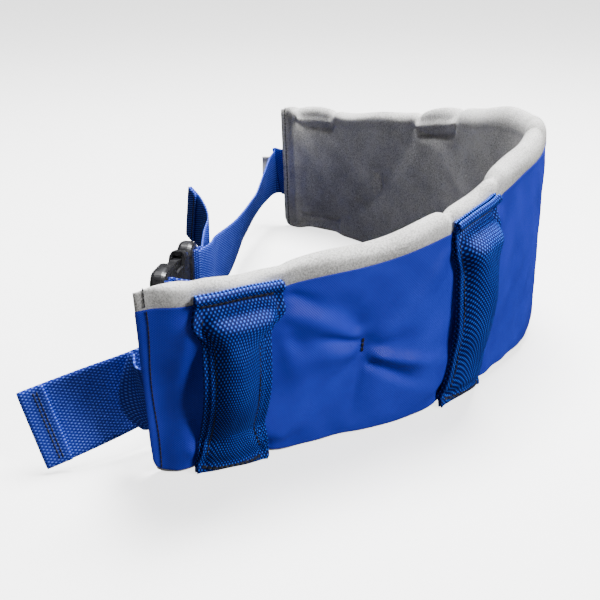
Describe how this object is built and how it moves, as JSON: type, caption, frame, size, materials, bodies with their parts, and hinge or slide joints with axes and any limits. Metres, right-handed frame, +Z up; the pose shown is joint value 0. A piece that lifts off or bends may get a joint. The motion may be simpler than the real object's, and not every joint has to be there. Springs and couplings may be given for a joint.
{
  "type": "gait belt",
  "caption": "Padded transfer belt with upright webbing handles, a fleece lining and an adjustable side-release buckle, for helping a person to stand and walk.",
  "frame": {"origin": "on the floor, under the middle of the belt's box", "axes": "+Z up; +X from the buckle side towards the padded back of the loop; +Y from the near end of the belt to its far end"},
  "size_m": [0.3645, 0.5504, 0.1782],
  "materials": {
    "cover_cloth": "coated plain-weave nylon with a soft sheen",
    "fleece": "brushed fleece, matt",
    "foam": "open-cell foam",
    "webbing": "ribbed polyester webbing",
    "thread": "bonded thread",
    "label_satin": "woven satin",
    "buckle_plastic": "moulded acetal, lightly worn"
  },
  "bodies": {
    "belt": {"outer_cover": "cover_cloth", "fleece_lining": "fleece", "foam_core": "foam", "near_end_seam_thread": "thread", "near_tack_thread": "thread", "far_end_seam_thread": "thread", "far_tack_thread": "thread", "handle_1_rear_webbing": "webbing", "handle_1_front_webbing": "webbing", "handle_1_pad": "foam", "handle_1_top_stitch": "thread", "handle_1_foot_stitch": "thread", "handle_2_rear_webbing": "webbing", "handle_2_front_webbing": "webbing", "handle_2_pad": "foam", "handle_2_top_stitch": "thread", "handle_2_foot_stitch": "thread", "handle_3_rear_webbing": "webbing", "handle_3_front_webbing": "webbing", "handle_3_pad": "foam", "handle_3_top_stitch": "thread", "handle_3_foot_stitch": "thread", "handle_4_rear_webbing": "webbing", "handle_4_front_webbing": "webbing", "handle_4_pad": "foam", "handle_4_top_stitch": "thread", "handle_4_foot_stitch": "thread", "near_strap": "webbing", "near_tail_run": "webbing", "far_strap": "webbing", "buckle_female_body": "buckle_plastic", "near_strap_loop": "webbing"},
    "buckle_male": {"buckle_male_body": "buckle_plastic", "far_strap_loop": "webbing", "far_tail_run": "webbing"},
    "upper_prong": {"buckle_prong_upper": "buckle_plastic"},
    "lower_prong": {"buckle_prong_lower": "buckle_plastic"},
    "near_tail": {"near_tail": "webbing"},
    "far_tail": {"far_tail": "webbing"},
    "label": {"care_label": "label_satin"}
  },
  "joints": [
    {"name": "buckle_release", "type": "slide", "parent": "belt", "child": "buckle_male", "axis": [0.1908, 0.9816, 0], "range_m": [0, 0.042], "deforming": ["far_strap"]},
    {"name": "upper_prong_squeeze", "type": "hinge", "parent": "buckle_male", "child": "upper_prong", "pos_m": [-0.10525, -0.03303, 0.0666], "axis": [0.9816, -0.1908, 0], "range_deg": [0, 7], "stiffness_Nm_per_rad": 0.6},
    {"name": "lower_prong_squeeze", "type": "hinge", "parent": "buckle_male", "child": "lower_prong", "pos_m": [-0.10525, -0.03303, 0.0214], "axis": [-0.9816, 0.1908, 0], "range_deg": [0, 7], "stiffness_Nm_per_rad": 0.6},
    {"name": "near_tail_slip", "type": "slide", "parent": "belt", "child": "near_tail", "axis": [-0.93, -0.3676, 0], "range_m": [0, 0.03]},
    {"name": "far_tail_slip", "type": "slide", "parent": "buckle_male", "child": "far_tail", "axis": [-0.1272, 0.9631, 0.2371], "range_m": [0, 0.03]},
    {"name": "care_label_flap", "type": "hinge", "parent": "belt", "child": "label", "pos_m": [-0.0282, 0.2624, 0.06], "axis": [0, 0, 1], "range_deg": [-60, 0]}
  ]
}
